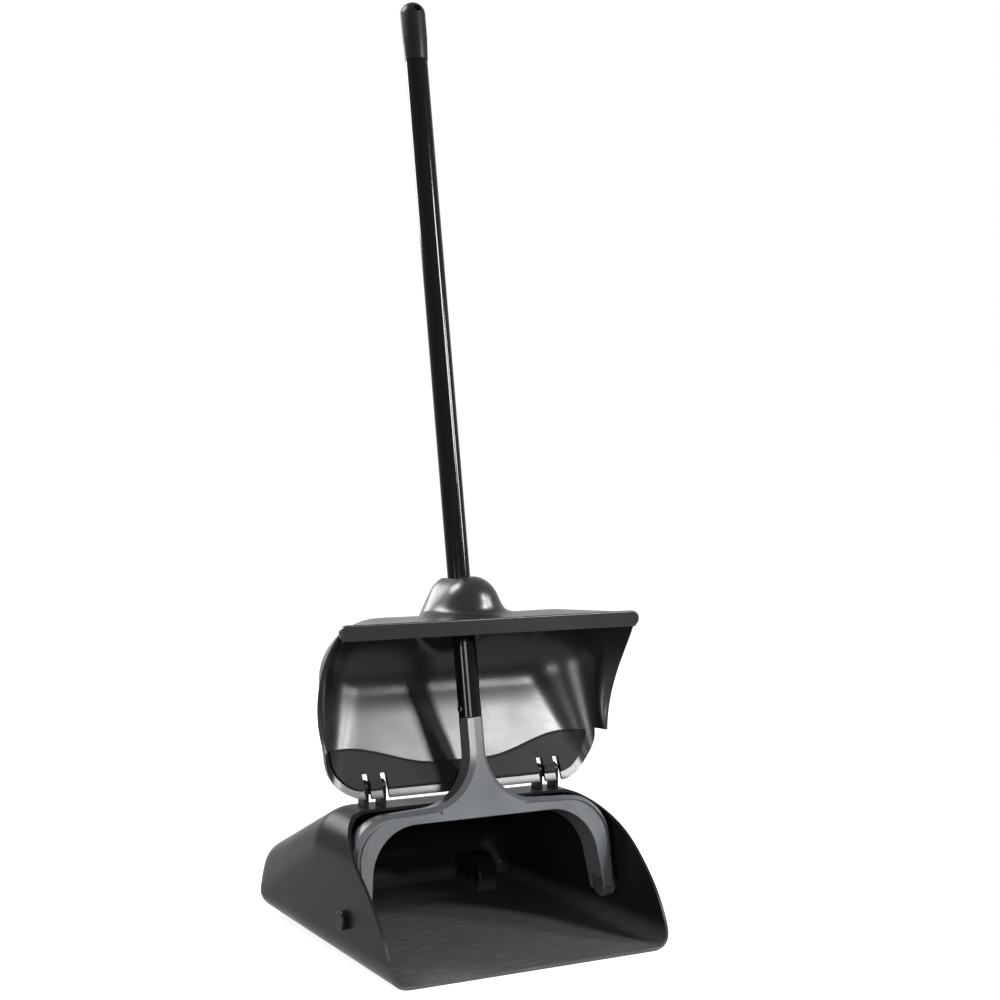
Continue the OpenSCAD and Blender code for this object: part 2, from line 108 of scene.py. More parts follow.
def length(name, description, default):
    """A length property, in metres."""
    return FloatProperty(name=name, description=description, default=default, min=0.0, unit="LENGTH")


def colour(name, description, hex_colour):
    """A colour property with an sRGB default."""
    return FloatVectorProperty(
        name=name,
        description=description,
        default=linear(hex_colour),
        size=3,
        min=0.0,
        max=1.0,
        subtype="COLOR",
    )


class DustpanSizes(bpy.types.PropertyGroup):
    """Sizes of the dustpan's pieces."""

    pan_width: length("Pan width", "Width of the pan over its side walls", 292 * MM)
    pan_length: length("Pan length", "Length of the pan from the lip to the back", 324 * MM)
    pan_height: length("Pan height", "Height of the hood above the floor", 132 * MM)
    wall: length("Wall", "Thickness of the moulded walls", 3 * MM)
    hood_radius: length("Hood radius", "Radius of the hood's rounded top edges", 42 * MM)
    tail_height: length("Tail height", "Height of the hood at the back, where it has fallen", 75 * MM)
    tail_radius: length("Tail radius", "Radius of the hood's rounded edges at the back", 30 * MM)
    base_radius: length("Base radius", "Radius of the pan's rounded bottom edges", 16 * MM)
    base_taper: length("Base taper", "How much narrower the pan is at the floor", 2 * MM)
    floor_rise: length("Floor rise", "How far the floor rises from the lip to the back", 9 * MM)
    rim_setback: length("Rim setback", "Distance from the lip back to the hood's rim", 132 * MM)
    wheel_radius: length("Wheel radius", "Radius of the rear wheels", 20 * MM)
    wheel_width: length("Wheel width", "Width of the rear wheels", 14 * MM)
    wheel_offset: length("Wheel offset", "Distance of each wheel from the middle", 85 * MM)
    wheel_setback: length("Wheel setback", "Distance of the axles from the back", 54 * MM)
    pivot_setback: length("Pivot setback", "Distance from the lip back to the pivots", 96 * MM)
    pivot_height: length("Pivot height", "Height of the yoke's pivots", 42 * MM)
    pivot_radius: length("Pivot radius", "Radius of the pivot pins", 4 * MM)
    lean: FloatProperty(
        name="Lean",
        description="Lean of the handle from upright",
        default=math.radians(10),
        unit="ROTATION",
    )
    arch_height: length("Arch height", "Height of the arch above the pivots", 90 * MM)
    arch_thickness: length("Arch thickness", "Thickness of the arch's top", 12 * MM)
    yoke_depth: length("Yoke depth", "Depth of the yoke from front to back", 27 * MM)
    leg_width: length("Leg width", "Width of each leg at its pivot", 10 * MM)
    stem_width: length("Stem width", "Width of the yoke's stem", 16 * MM)
    stem_top: length("Stem top", "Top of the stem above the pivots", 172 * MM)
    tube_radius: length("Tube radius", "Outer radius of the handle tube", 11 * MM)
    handle_length: length("Handle length", "From the pivots to the handle's top", 884 * MM)
    cap_length: length("Cap length", "Length of the grip cap's sleeve", 46 * MM)
    cap_wall: length("Cap wall", "Wall of the grip cap around the tube", 1.6 * MM)
    hang_radius: length("Hang hole radius", "Radius of the hole to hang the pan from", 3.5 * MM)
    cover_width: length("Cover width", "Width of the cover over its side walls", 304 * MM)
    cover_height: length("Cover height", "Height of the open cover above its hinge", 161 * MM)
    cover_reach: length("Cover reach", "How far the cover's lip stands in front", 69 * MM)
    cover_bulge: length("Cover bulge", "How far the cover bulges behind its hinge", 38 * MM)
    crown_radius: length("Crown radius", "Radius of the cover's crown", 58 * MM)
    tongue_width: length("Tongue width", "Width of the cover's tongue at the hinge", 292 * MM)
    hump_radius: length("Hump radius", "Radius of the foot of the hump", 46 * MM)
    peak_radius: length("Peak radius", "Radius of the hump's rounded peak", 30 * MM)
    hump_rise: length("Hump rise", "Height of the hump above the cover", 36 * MM)
    lip_height: length("Lip height", "Height of the cover's lip band", 15 * MM)
    hinge_rise: length("Hinge rise", "Height of the hinge axis above the hood", 18 * MM)
    hinge_setback: length("Hinge setback", "From the hood's rim back to the hinge", 14 * MM)
    hinge_offset: length("Hinge offset", "Distance of each hinge from the middle", 94 * MM)
    hinge_radius: length("Hinge radius", "Radius of the hinge pins", 2.5 * MM)


class DustpanColours(bpy.types.PropertyGroup):
    """Colours of the dustpan's finishes."""

    pan: colour("Pan", "Moulded black plastic of the pan", "#08090a")
    cover: colour("Cover", "Moulded black plastic of the cover", "#0a0b0c")
    yoke: colour("Yoke", "Graphite grey plastic of the yoke", "#2c2e30")
    enamel: colour("Tube enamel", "Black enamel on the handle tube", "#030304")
    cap: colour("Cap", "Satin black plastic of the caps", "#08080a")
    tyre: colour("Tyre", "Dark grey plastic of the wheels and pads", "#2b2c2d")
    # Also painted light: on the pan this pale colour lifts the shaded floor low down
    scuff_and_lift: colour("Scuff", "Pale scuffed plastic along worn edges", "#6d6f70")
    steel: colour("Steel", "Bare steel of the pins", "#c4c6c9")
    black_steel: colour("Blackened steel", "Blackened steel of the rivet", "#3c3d3f")
    nylon: colour("Nylon", "Natural nylon of washers and bushes", "#d9d7cc")


class Plan:
    """Places that several pieces share, worked out from the sizes."""

    gap = 0.5 * MM
    over = 30 * MM
    back_rake = 8 * MM
    hood_flat = 30 * MM
    tail_inset = 4 * MM
    wheel_room = 2 * MM
    wheel_side_room = 1 * MM
    arm_bend = 45 * MM
    corner_radius = 14 * MM
    waist_radius = 40 * MM
    foot_radius = 16 * MM
    tongue_corner = 44 * MM
    lip_over = 6 * MM
    lip_thickness = 6 * MM
    panel_inset = 8 * MM
    # Beyond the cover on every side
    far = 300 * MM
    waist_back = 11 * MM
    waist_rise = 43 * MM
    channel_ahead = 10 * MM
    channel_rise = 48 * MM
    channel_radius = 20 * MM
    slot_half = 13.5 * MM
    # The frame's solids are faceted, so the smooth skins are drawn in to stay inside their box
    skin_draw = 0.25 * MM

    def __init__(self, sizes):
        self.lip_y = -sizes.pan_length / 2
        self.back_y = sizes.pan_length / 2
        self.rim_y = self.lip_y + sizes.rim_setback
        self.base_width = sizes.pan_width - sizes.base_taper
        self.slope = sizes.floor_rise / sizes.pan_length
        self.wheel = Vector((sizes.wheel_offset, self.back_y - sizes.wheel_setback, sizes.wheel_radius))
        self.pivot = Vector((0, self.lip_y + sizes.pivot_setback, sizes.pivot_height))
        self.leg_x = self.base_width / 2 - sizes.wall - 4 * MM
        self.boss_face = self.leg_x + 1.6 * MM
        self.hinge = Vector((0, self.rim_y + sizes.hinge_setback, sizes.pan_height + sizes.hinge_rise))
        self.ear_radius = sizes.hinge_radius + 5 * MM
        self.knuckle_width = 12 * MM
        self.ear_thickness = 5 * MM
        self.cover_top = self.hinge.z + sizes.cover_height
        self.cover_back = self.hinge.y + sizes.cover_bulge
        self.cover_lip_y = self.hinge.y - sizes.cover_reach
        self.tongue_front = self.hinge.y - self.ear_radius - self.gap - sizes.wall
        self.tongue_z = self.hinge.z - 9 * MM
        self.step = Vector((0, self.hinge.y - 21 * MM, self.hinge.z + 39 * MM))
        tilt = math.tan(sizes.lean)
        self.hump_y = self.pivot.y + (self.cover_top - self.pivot.z) * tilt - 2 * MM
        self.cap_radius = sizes.tube_radius + sizes.cap_wall
        self.tube_end = sizes.handle_length - self.cap_radius - sizes.cap_wall

        band = self.cover_top - sizes.lip_height
        self.mouth_bow = (self.lip_y + 6 * MM, sizes.pan_height / 2)
        self.mouth_end = (self.rim_y, sizes.pan_height - sizes.wall)
        self.edge_from = (self.cover_lip_y + 27 * MM, band)
        self.edge_bow = (self.hinge.y + 1.5 * MM, self.hinge.z + 87.5 * MM)
        self.flange_from = (self.cover_lip_y + self.lip_thickness / 2, band + 4 * MM)
        self.flange_bow = (self.hinge.y - 9 * MM, self.hinge.z + 85.5 * MM)
        self.flange_end = (self.step.y - 3 * MM, self.step.z)
        self.flange_reach = sizes.cover_width / 2 + 11.5 * MM

    def floor_z(self, y):
        """Height of the pan's underside."""
        return self.slope * (y - self.lip_y)

    def mouth(self, t):
        """Place in Y and Z on the pan's bowed mouth, from the lip up to the hood's rim."""
        return curve((self.lip_y, 0), self.mouth_bow, self.mouth_end, t)

    def edge(self, t):
        """Place in Y and Z on the cover's side edge, from the lip down to the step."""
        return curve(self.edge_from, self.edge_bow, self.step.yz, t)

    def flange_edge(self, t):
        """Place on the outer edge of the right flange, from the lip down to the step."""
        y, z = curve(self.flange_from, self.flange_bow, self.flange_end, t)
        return Vector((self.flange_reach - 9 * MM * t**2 - 5 * MM * (1 - t) ** 8, y, z))


# Modelling steps that several pieces share


def rest():
    """Leaves edit mode and deselects everything."""
    if bpy.context.mode != "OBJECT":
        bpy.ops.object.mode_set(mode="OBJECT")
    bpy.ops.object.select_all(action="DESELECT")


def take(obj):
    """Makes one object the selected and active one."""
    rest()
    obj.select_set(True)
    bpy.context.view_layer.objects.active = obj


def named(name):
    """Names the object that was just added."""
    obj = bpy.context.active_object
    obj.name = name
    obj.data.name = name
    return obj


def modify(obj, kind, **settings):
    """Adds a modifier to an object and applies it."""
    modifier = obj.modifiers.new(kind.title(), kind)
    for key, value in settings.items():
        setattr(modifier, key, value)
    take(obj)
    bpy.ops.object.modifier_apply(modifier=modifier.name)
    return obj


def open_mesh(obj):
    """Enters edit mode with everything selected."""
    take(obj)
    bpy.ops.object.mode_set(mode="EDIT")
    bpy.ops.mesh.select_mode(type="VERT")
    bpy.ops.mesh.select_all(action="SELECT")


def pick(obj, kind, chosen):
    """Enters edit mode with the chosen edges or faces selected, given as one flag for each."""
    open_mesh(obj)
    bpy.ops.mesh.select_mode(type=kind)
    bpy.ops.mesh.select_all(action="DESELECT")
    rest()
    parts = obj.data.edges if kind == "EDGE" else obj.data.polygons
    parts.foreach_set("select", chosen)
    take(obj)
    bpy.ops.object.mode_set(mode="EDIT")


def settle(obj, place, turn=(0, 0, 0)):
    """Turns a piece and moves it to its place, and applies that to its mesh."""
    obj.location = place
    obj.rotation_euler = turn
    take(obj)
    bpy.ops.object.transform_apply(location=True, rotation=True, scale=True)
    return obj


def face_outwards(obj, weld=0.005 * MM):
    """Merges doubles and turns every face outwards."""
    open_mesh(obj)
    bpy.ops.mesh.remove_doubles(threshold=weld)
    bpy.ops.mesh.normals_make_consistent(inside=False)
    rest()
    return obj


def round_edges(obj, width, segments=3, angle=50):
    """Rounds each edge that is sharper than an angle."""
    return modify(
        obj,
        "BEVEL",
        width=width,
        segments=segments,
        limit_method="ANGLE",
        angle_limit=math.radians(angle),
        use_clamp_overlap=True,
        miter_outer="MITER_ARC",
    )


def smooth(obj, angle=38):
    """Shades an object smooth, with sharp edges kept and flat faces left flat."""
    take(obj)
    bpy.ops.object.shade_smooth_by_angle(angle=math.radians(angle))
    return modify(obj, "WEIGHTED_NORMAL", keep_sharp=True, mode="FACE_AREA_WITH_ANGLE")


def combine(obj, tool, operation):
    """Joins a solid to an object, cuts it away or keeps what both share, and uses the solid up."""
    modify(obj, "BOOLEAN", object=tool, operation=operation, solver="EXACT")
    bpy.data.objects.remove(tool, do_unlink=True)
    return obj


def join(obj, *others):
    """Joins meshes into one object."""
    take(obj)
    for other in others:
        other.select_set(True)
    bpy.ops.object.join()
    return obj


def copy_of(obj, name):
    """A copy of an object with a mesh of its own."""
    take(obj)
    bpy.ops.object.duplicate()
    return named(name)


def ball_hull(name, balls):
    """A skin stretched over balls, each given by its centre and radius."""
    rest()
    bpy.ops.mesh.primitive_uv_sphere_add(radius=1, location=(0, 0, 0))
    obj = named(name)
    open_mesh(obj)
    bpy.ops.mesh.delete(type="VERT")
    for centre, radius in balls:
        bpy.ops.mesh.primitive_uv_sphere_add(segments=64, ring_count=32, radius=radius, location=centre)
    bpy.ops.mesh.select_all(action="SELECT")
    bpy.ops.mesh.convex_hull(join_triangles=False)
    bpy.ops.mesh.select_all(action="SELECT")
    bpy.ops.mesh.tris_convert_to_quads(face_threshold=math.radians(2), shape_threshold=math.radians(60))
    return face_outwards(obj)


def prism(name, outline, depth):
    """A solid from a flat outline of points, as thick as depth and centred on the outline."""
    rest()
    bpy.ops.mesh.primitive_circle_add(vertices=len(outline), radius=1, fill_type="NGON")
    obj = named(name)
    for vertex, point in zip(obj.data.vertices, outline):
        vertex.co = point
    obj.data.update()
    modify(obj, "SOLIDIFY", thickness=depth, offset=0)
    return face_outwards(obj)


def cylinder(name, radius, x0, x1, centre, vertices=96):
    """A cylinder along X between two places."""
    rest()
    bpy.ops.mesh.primitive_cylinder_add(vertices=vertices, radius=radius, depth=abs(x1 - x0))
    return settle(named(name), ((x0 + x1) / 2, centre.y, centre.z), (0, QUARTER, 0))


def block(name, low, high):
    """A box between two corners."""
    rest()
    low, high = Vector(low), Vector(high)
    bpy.ops.mesh.primitive_cube_add(size=1, scale=high - low)
    return settle(named(name), (low + high) / 2)


def lathe(name, profile, steps=72):
    """Turns an open profile of radius and height pairs round the Z axis."""
    rest()
    bpy.ops.mesh.primitive_circle_add(vertices=len(profile), radius=1, fill_type="NOTHING")
    obj = named(name)
    for vertex, (radius, height) in zip(obj.data.vertices, profile):
        vertex.co = (radius, 0, height)
    ends = {0, len(profile) - 1}
    pick(obj, "EDGE", [set(edge.vertices) == ends for edge in obj.data.edges])
    bpy.ops.mesh.delete(type="EDGE")
    bpy.ops.mesh.select_all(action="SELECT")
    bpy.ops.mesh.spin(steps=steps, angle=TURN, center=(0, 0, 0), axis=(0, 0, 1))
    return face_outwards(obj)


def slice_off(obj, point, outward, fill=False):
    """Cuts away what lies in front of a plane."""
    open_mesh(obj)
    bpy.ops.mesh.bisect(plane_co=point, plane_no=outward, use_fill=fill, clear_outer=True)
    rest()
    return obj


def skin_cut(obj, tool):
    """Keeps what a closed body shares with a solid, without the solid's own faces, so the skin is open."""
    for piece, index in ((obj, 0), (tool, 1)):
        piece.data.materials.clear()
        for marker in ("skin_marker", "cut_marker"):
            piece.data.materials.append(bpy.data.materials.get(marker) or bpy.data.materials.new(marker))
        for polygon in piece.data.polygons:
            polygon.material_index = index
    combine(obj, tool, "INTERSECT")
    pick(obj, "FACE", [polygon.material_index == 1 for polygon in obj.data.polygons])
    bpy.ops.mesh.delete(type="FACE")
    rest()
    obj.data.materials.clear()
    return obj


def arc(cx, cy, radius, start, end, steps=24):
    """Points on an arc between two angles in degrees."""
    points = []
    for i in range(steps + 1):
        angle = math.radians(start + (end - start) * i / steps)
        points.append((cx + radius * math.cos(angle), cy + radius * math.sin(angle)))
    return points


def both_halves(half):
    """A closed outline of points in X and Z, made from its right half."""
    return [(x, 0, z) for x, z in half] + [(-x, 0, z) for x, z in reversed(half)]


def set_in_handle(obj, plan, sizes):
    """Turns a piece drawn on the handle's own axes to the leaning handle."""
    return settle(obj, plan.pivot, (-sizes.lean, 0, 0))


def finish_piece(obj, material, body, slot, *nodes):
    """Gives a piece its material and its body, and hides the nodes that it stands for; the slot is not
    used.
    """
    obj.data.materials.clear()
    obj.data.materials.append(material)
    obj.data.polygons.foreach_set("material_index", [0] * len(obj.data.polygons))
    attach(obj, body)
    if nodes:
        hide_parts(*nodes)


# Materials


def add(tree, kind, settings=None, links=None):
    """Adds a node with its settings and with links into its inputs."""
    node = tree.nodes.new(kind)
    for key, value in (settings or {}).items():
        if isinstance(key, int) or key in node.inputs:
            node.inputs[key].default_value = value
        else:
            setattr(node, key, value)
    for key, source in (links or {}).items():
        tree.links.new(source, node.inputs[key])
    return node


def new_material(name):
    """A new material and its empty tree, or the one of that name that is there already and None."""
    material = bpy.data.materials.get(name)
    if material:
        return material, None
    material = bpy.data.materials.new(name)
    material.use_nodes = True
    tree = material.node_tree
    tree.nodes.clear()
    return material, tree


def noise(tree, place, size, detail, roughness=0.5):
    """Noise with marks of about the given size."""
    settings = {"Scale": 1 / size, "Detail": detail, "Roughness": roughness}
    return add(tree, "ShaderNodeTexNoise", settings, {"Vector": place}).outputs["Fac"]


def stretch(tree, place, scale):
    """Coordinates for marks that are long and thin."""
    return add(tree, "ShaderNodeMapping", {"Scale": scale}, {"Vector": place}).outputs["Vector"]


def remap(tree, value, old, new):
    """Maps a value from one range to another and keeps it in there."""
    settings = {"From Min": old[0], "From Max": old[1], "To Min": new[0], "To Max": new[1]}
    return add(tree, "ShaderNodeMapRange", settings, {"Value": value}).outputs["Result"]


def reckon(tree, operation, first, second):
    """The sum, the product or the greater one of two values."""
    return add(tree, "ShaderNodeMath", {"operation": operation}, {0: first, 1: second}).outputs["Value"]


def blend(tree, factor, first, second):
    """Mixes two colours, each a socket or linear red, green and blue."""
    settings, links = {"data_type": "RGBA"}, {0: factor}
    for key, tint in ((6, first), (7, second)):
        if isinstance(tint, bpy.types.NodeSocket):
            links[key] = tint
        else:
            settings[key] = (*tint, 1)
    return add(tree, "ShaderNodeMix", settings, links).outputs[2]


def relief(tree, height, strength, depth):
    """Normals of a fine relief."""
    settings = {"Strength": strength, "Distance": depth}
    return add(tree, "ShaderNodeBump", settings, {"Height": height}).outputs["Normal"]


def surface(tree, settings, links):
    """Ends a material with its shader."""
    shader = add(tree, "ShaderNodeBsdfPrincipled", settings, links)
    add(tree, "ShaderNodeOutputMaterial", links={"Surface": shader.outputs["BSDF"]})


def plastic(name, colours):
    """A plastic of the table: a fine eroded grain, softly uneven gloss and, low down, pale scuffs, which on
    the pan are also painted light that lifts its shaded floor.
    """
    material, tree = new_material(name)
    if not tree:
        return material
    tint, roughness, specular, grain, scuff_and_lift_top = PLASTICS[name]
    base = list(getattr(colours, tint))
    pale = [1.3 * c + 0.002 for c in base]
    place = add(tree, "ShaderNodeTexCoord").outputs["Object"]
    # Flow marks some 60 mm across make the gloss uneven
    flow = noise(tree, place, 60 * MM, 3.0)
    # The grain is finer than a pixel on the real piece, so it is drawn coarser to show at all
    fine = noise(tree, place, grain, 2.0)
    # Hairline rubs, drawn long and thin across the piece
    rubs = noise(tree, stretch(tree, place, (1.0, 9.0, 5.0)), 25 * MM, 6.0, 0.7)
    gloss = remap(tree, flow, (0.3, 0.7), (roughness - 0.04, roughness + 0.05))
    rubbed = remap(tree, rubs, (0.56, 0.72), (0.0, 0.06))
    tone = blend(tree, flow, base, pale)
    # Low down the tone is blended towards the pale scuff colour: real scuffs along worn edges, and on the
    # pan also painted light, as the even share of at least 0.2 lifts the shaded floor inside the pan where
    # the lamps hardly reach
    if scuff_and_lift_top:
        height = add(tree, "ShaderNodeSeparateXYZ", links={"Vector": place}).outputs["Z"]
        low = remap(tree, height, (scuff_and_lift_top, 0.0), (0.0, 1.0))
        marks = remap(tree, rubs, (0.5, 0.68), (0.2, 0.34))
        tone = blend(tree, reckon(tree, "MULTIPLY", low, marks), tone, list(colours.scuff_and_lift))
    surface(
        tree,
        {"IOR": 1.49, "Specular IOR Level": specular},
        {
            "Base Color": tone,
            "Roughness": reckon(tree, "ADD", gloss, rubbed),
            "Normal": relief(tree, fine, 0.25, 0.12 * MM),
        },
    )
    return material


def tube_enamel(base):
    """Gloss black stoved enamel on steel tube: a hard gloss with a faint orange peel and hairline rubs."""
    material, tree = new_material("stoved_black_enamel")
    if not tree:
        return material
    pale = [1.4 * c + 0.001 for c in base]
    place = add(tree, "ShaderNodeTexCoord").outputs["Object"]
    # Orange peel about 3 mm across
    peel = noise(tree, place, 3 * MM, 1.0)
    # Rubs run along the tube
    rubs = noise(tree, stretch(tree, place, (1.0, 1.0, 0.06)), 2 * MM, 4.0)
    surface(
        tree,
        {"IOR": 1.52, "Specular IOR Level": 0.07},
        {
            "Base Color": blend(tree, peel, base, pale),
            "Roughness": remap(tree, rubs, (0.4, 0.75), (0.08, 0.15)),
            "Normal": relief(tree, peel, 0.12, 0.1 * MM),
        },
    )
    return material


def drawn_steel(name, base, roughness):
    """Drawn steel pin: bright metal with fine lines along the pin."""
    material, tree = new_material(name)
    if not tree:
        return material
    dull = [0.75 * c for c in base]
    place = add(tree, "ShaderNodeTexCoord").outputs["Object"]
    # Drawing lines about half a millimetre apart, along X
    lines = noise(tree, stretch(tree, place, (0.05, 1.0, 1.0)), 0.5 * MM, 3.0)
    surface(
        tree,
        {"Metallic": 1.0},
        {
            "Base Color": blend(tree, lines, dull, base),
            "Roughness": remap(tree, lines, (0.0, 1.0), (roughness - 0.08, roughness + 0.1)),
        },
    )
    return material


class Piece:
    """What every operator that makes a piece shares."""

    bl_options = {"REGISTER"}

    def execute(self, context):
        """Takes the sizes, the colours and the plan from the scene, and makes the piece."""
        self.sizes = context.scene.dustpan_sizes
        self.colours = context.scene.dustpan_colours
        self.plan = Plan(self.sizes)
        self.make()
        return {"FINISHED"}

    def dress(self, obj, finish, body, slot, *nodes):
        """Gives a piece a plastic of the table and its body, and hides the nodes that it stands for; the
        slot is not used.
        """
        finish_piece(obj, plastic(finish, self.colours), body, slot, *nodes)


def pan_balls(sizes, plan, inset):
    """Balls that the pan's skin is stretched over, drawn in by an inset."""
    top_x = sizes.pan_width / 2 - sizes.hood_radius
    tail_x = sizes.pan_width / 2 - plan.tail_inset - sizes.tail_radius
    base_x = plan.base_width / 2 - sizes.base_radius
    lift = sizes.base_radius * math.sqrt(1 + plan.slope**2)
    front = plan.lip_y - plan.over
    back = plan.back_y - plan.back_rake - sizes.base_radius
    balls = []
    for side in (-1, 1):
        for y in (front, plan.rim_y + plan.hood_flat):
            centre = (side * top_x, y, sizes.pan_height - sizes.hood_radius)
            balls.append((centre, sizes.hood_radius - inset))
        tail_y = plan.back_y - plan.skin_draw - sizes.tail_radius
        tail = (side * tail_x, tail_y, sizes.tail_height - sizes.tail_radius)
        balls.append((tail, sizes.tail_radius - inset))
        for y in (front, back):
            balls.append(((side * base_x, y, plan.floor_z(y) + lift), sizes.base_radius - inset))
    return balls


class DUSTPAN_OT_pan(Piece, bpy.types.Operator):
    """Models the pan with its hood, wheel housings, pivot bosses and hinge ears"""

    bl_idname = "dustpan.pan"
    bl_label = "Pan"

    def make(self):
        sizes, plan = self.sizes, self.plan
        pan = self.shell()
        for side in (-1, 1):
            combine(pan, self.housing(side), "UNION")
            combine(pan, self.boss(side), "UNION")
            for ear in (-1, 1):
                combine(pan, self.ear(side, ear), "UNION")
        hollow = sizes.wheel_radius + plan.wheel_room
        half = sizes.wheel_width / 2 + plan.wheel_side_room
        bore_from, bore_to = 130 * MM, 150 * MM
        for side in (-1, 1):
            x = side * plan.wheel.x
            slot = cylinder("wheel_slot", hollow, x - half, x + half, plan.wheel)
            combine(pan, slot, "DIFFERENCE")
            ends = (side * bore_from, side * bore_to)
            bore = cylinder("pivot_bore", sizes.pivot_radius, *ends, plan.pivot, 48)
            combine(pan, bore, "DIFFERENCE")
        smooth(pan)
        self.dress(pan, "moulded_black_polypropylene", "pan", "pan_plastic", "pan_shell")

    def shell(self):
        """The hooded shell, open along its bowed mouth."""
        sizes, plan = self.sizes, self.plan
        shell = ball_hull("pan_moulding", pan_balls(sizes, plan, 0))
        modify(shell, "REMESH", mode="VOXEL", voxel_size=3 * MM, adaptivity=0)
        modify(shell, "SMOOTH", factor=0.5, iterations=16)
        combine(shell, ball_hull("pan_inside", pan_balls(sizes, plan, sizes.wall)), "DIFFERENCE")
        front, top = plan.lip_y - 3 * plan.over, sizes.pan_height + plan.over
        outline = [(front, top), (front, -plan.over), (plan.lip_y, -plan.over)]
        outline += [plan.mouth(i / ROWS) for i in range(ROWS + 1)]
        outline.append((plan.rim_y, top))
        combine(shell, prism("mouth", [(0, y, z) for y, z in outline], DEEP), "DIFFERENCE")
        face_outwards(shell, 0.4 * MM)
        return round_edges(shell, 1.0 * MM, 3, 40)

    def housing(self, side):
        """Rounded wheel housing that stands on the floor inside the pan."""
        sizes, plan = self.sizes, self.plan
        radius = sizes.wheel_radius + plan.wheel_room + sizes.wall
        half = sizes.wheel_width / 2 + plan.wheel_side_room + sizes.wall
        x = side * plan.wheel.x
        housing = cylinder("wheel_housing", radius, x - half, x + half, plan.wheel)
        round_edges(housing, 2.5 * MM, 4)
        middle = (0, 0, plan.floor_z(0) + sizes.wall / 2)
        return slice_off(housing, middle, (0, plan.slope, -1), True)

    def boss(self, side):
        """Round boss inside a cheek that holds a pivot pin."""
        sizes, plan = self.sizes, self.plan
        ends = (side * plan.boss_face, side * (sizes.pan_width / 2 - 1 * MM))
        boss = cylinder("pivot_boss", sizes.pivot_radius + 6 * MM, *ends, plan.pivot)
        return round_edges(boss, 0.8 * MM)

    def ear(self, side, ear):
        """Hinge ear: a round top on a straight foot that runs down into the hood."""
        sizes, plan = self.sizes, self.plan
        near = side * sizes.hinge_offset + ear * (plan.knuckle_width / 2 + plan.gap)
        piece = cylinder("hinge_ear", plan.ear_radius, near, near + ear * plan.ear_thickness, plan.hinge)
        slice_off(piece, plan.hinge, (0, 0, -1), True)
        foot = sizes.pan_height - sizes.wall + 2 * plan.gap
        pick(piece, "FACE", [polygon.normal.z < -0.9 for polygon in piece.data.polygons])
        drop = (0, 0, foot - plan.hinge.z)
        bpy.ops.mesh.extrude_region_move(TRANSFORM_OT_translate={"value": drop})
        face_outwards(piece)
        return round_edges(piece, 0.9 * MM)


class DUSTPAN_OT_wheels(Piece, bpy.types.Operator):
    """Models the two rear wheels"""

    bl_idname = "dustpan.wheels"
    bl_label = "Wheels"

    def make(self):
        sizes, plan = self.sizes, self.plan
        half = sizes.wheel_width / 2
        tread = sizes.wheel_radius
        bore = 3.05 * MM
        hub = 7 * MM
        web = tread - 5 * MM
        recess = half - 2 * MM
        profile = [
            (bore, -half), (hub, -half), (hub, -recess), (web, -recess), (web, -half),
            (tread, -half), (tread, half), (web, half), (web, recess), (hub, recess),
            (hub, half), (bore, half), (bore, -half),
        ]
        for name, side in SIDES:
            wheel = lathe("rear_wheel_" + name, profile, 96)
            round_edges(wheel, 0.9 * MM)
            settle(wheel, (side * plan.wheel.x, plan.wheel.y, plan.wheel.z), (0, QUARTER, 0))
            smooth(wheel)
            body = "wheel_" + name
            self.dress(wheel, "moulded_dull_grey_tyre", body, "wheel_plastic", body)


class DUSTPAN_OT_pivot_caps(Piece, bpy.types.Operator):
    """Models the domed caps over the outer ends of the pivot pins"""

    bl_idname = "dustpan.pivot_caps"
    bl_label = "Pivot caps"

    def make(self):
        sizes, plan = self.sizes, self.plan
        radius = sizes.pivot_radius + 5 * MM
        face = sizes.pan_width / 2
        for name, side in SIDES:
            cap = cylinder("pivot_button_" + name, radius, side * face, side * (face + 5 * MM), plan.pivot)
            round_edges(cap, 1.6 * MM, 5)
            smooth(cap)
            self.dress(cap, "moulded_satin_black_cap", "pan", "cap_plastic", "pivot_cap_" + name)


